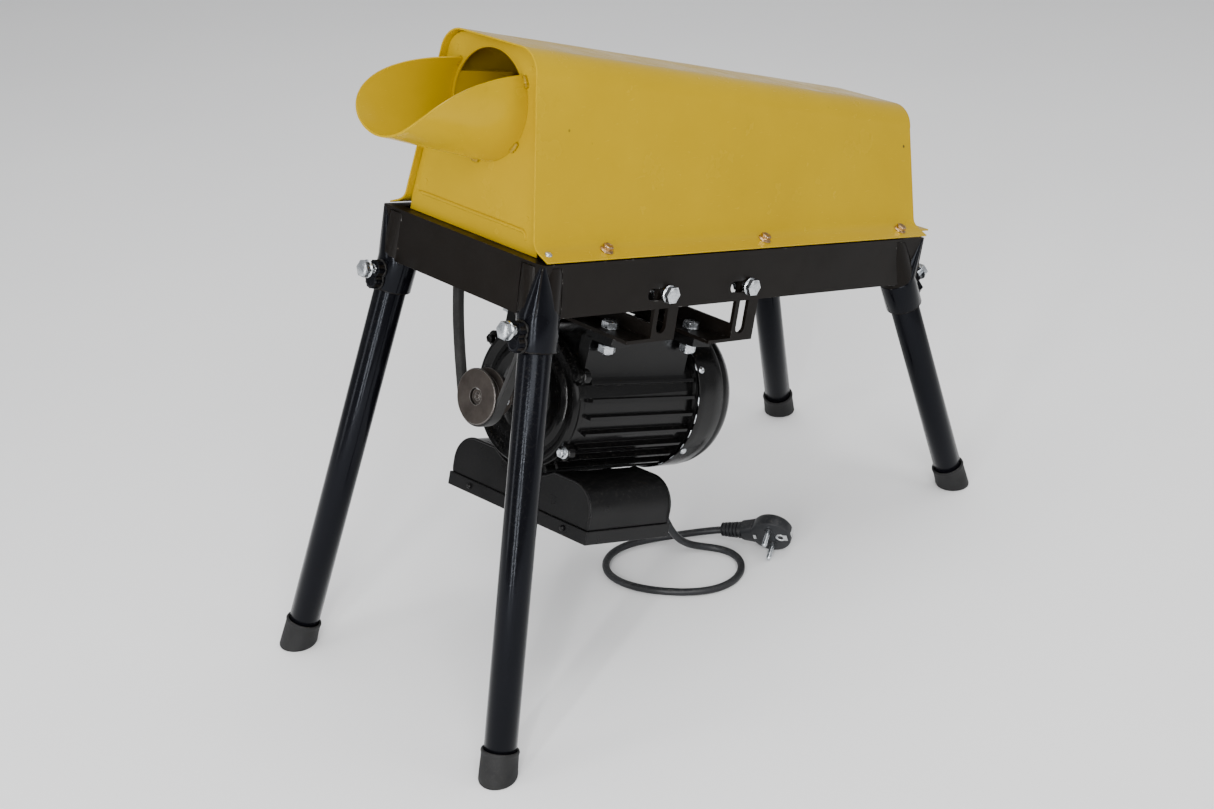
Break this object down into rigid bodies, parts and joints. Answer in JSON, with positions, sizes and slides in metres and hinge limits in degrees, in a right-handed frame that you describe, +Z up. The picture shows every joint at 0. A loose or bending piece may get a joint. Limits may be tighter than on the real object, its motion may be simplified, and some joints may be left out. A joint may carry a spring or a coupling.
{
  "type": "electric corn sheller",
  "caption": "Small electric corn sheller: yellow hood with a half-round feed scoop over a drum, tilted tray on splayed pipe legs, belt-driven by a motor hung below.",
  "frame": {"origin": "on the floor, midway along X and Y of the machine's own footprint", "axes": "+X from the feed scoop to the cob outlet, +Y to the far side, +Z up"},
  "size_m": [0.648, 0.307, 0.5444],
  "materials": {
    "black_paint": "satin powder coat",
    "leg_paint": "gloss enamel",
    "yellow_paint": "gloss powder coat",
    "motor_paint": "gloss enamel",
    "box_paint": "satin powder coat",
    "cast_iron": "as cast",
    "bright_steel": "ground",
    "turned_steel": "turned, darkened",
    "zinc": "zinc plated",
    "cap_rubber": "moulded",
    "belt_rubber": "fabric wrapped",
    "cord_plastic": "moulded PVC",
    "aluminium": "drawn",
    "winding": "varnished copper and steel",
    "fan_plastic": "moulded"
  },
  "bodies": {
    "frame": {"leg_socket_inlet_near": "leg_paint", "leg_clamp_bolt_inlet_near": "zinc", "leg_socket_inlet_far": "leg_paint", "leg_clamp_bolt_inlet_far": "zinc", "leg_socket_outlet_near": "leg_paint", "leg_clamp_bolt_outlet_near": "zinc", "leg_socket_outlet_far": "leg_paint", "leg_clamp_bolt_outlet_far": "zinc", "tray_frame": "black_paint", "hood_shell": "yellow_paint", "hood_inlet_plate": "yellow_paint", "hood_outlet_plate": "yellow_paint", "feed_scoop": "yellow_paint", "feed_trough": "yellow_paint", "inlet_bearing_plate": "black_paint", "inlet_bearing_housing": "cast_iron", "inlet_bearing": "bright_steel", "outlet_bearing_plate": "black_paint", "outlet_bearing_housing": "cast_iron", "outlet_bearing": "bright_steel", "concave_grate": "bright_steel", "v_belt": "belt_rubber", "mount_bolt_front_near": "zinc", "mount_bolt_front_far": "zinc", "mount_bolt_rear_near": "zinc", "mount_bolt_rear_far": "zinc", "leg_pipe_inlet_near": "leg_paint", "foot_cap_inlet_near": "cap_rubber", "leg_pipe_inlet_far": "leg_paint", "foot_cap_inlet_far": "cap_rubber", "leg_pipe_outlet_near": "leg_paint", "foot_cap_outlet_near": "cap_rubber", "leg_pipe_outlet_far": "leg_paint", "foot_cap_outlet_far": "cap_rubber"},
    "drum": {"threshing_drum": "cast_iron", "drum_shaft": "bright_steel", "drum_pulley": "turned_steel"},
    "motor_carriage": {"capacitor_box": "box_paint", "capacitor_box_lid": "box_paint", "run_capacitor": "aluminium", "start_capacitor": "fan_plastic", "cord_relief": "cord_plastic", "motor_body": "motor_paint", "drive_end_shield": "motor_paint", "rear_end_shield": "motor_paint", "fan_cover": "motor_paint", "motor_stator": "winding", "motor_bracket_front": "black_paint", "motor_bracket_rear": "black_paint", "foot_bolt_front_near": "zinc", "foot_bolt_front_far": "zinc", "foot_bolt_rear_near": "zinc", "foot_bolt_rear_far": "zinc", "mains_plug": "cord_plastic", "plug_relief": "cord_plastic", "power_cord": "cord_plastic"},
    "rotor": {"motor_shaft": "bright_steel", "motor_rotor": "aluminium", "cooling_fan": "fan_plastic", "motor_pulley": "turned_steel"}
  },
  "joints": [
    {"name": "drum_spin", "type": "hinge", "parent": "frame", "child": "drum", "pos_m": [0.03962, 0, 0.33836], "axis": [0.9659, 0, -0.2588], "continuous": true},
    {"name": "motor_slide", "type": "slide", "parent": "frame", "child": "motor_carriage", "axis": [0.2588, 0, 0.9659], "range_m": [0, 0.008]},
    {"name": "motor_spin", "type": "hinge", "parent": "motor_carriage", "child": "rotor", "pos_m": [-0.19159, 0, 0.25093], "axis": [0.9418, 0, -0.3363], "continuous": true}
  ],
  "couplings": [
    {"joint": "motor_spin", "follows": "drum_spin", "ratio": 2.28}
  ]
}
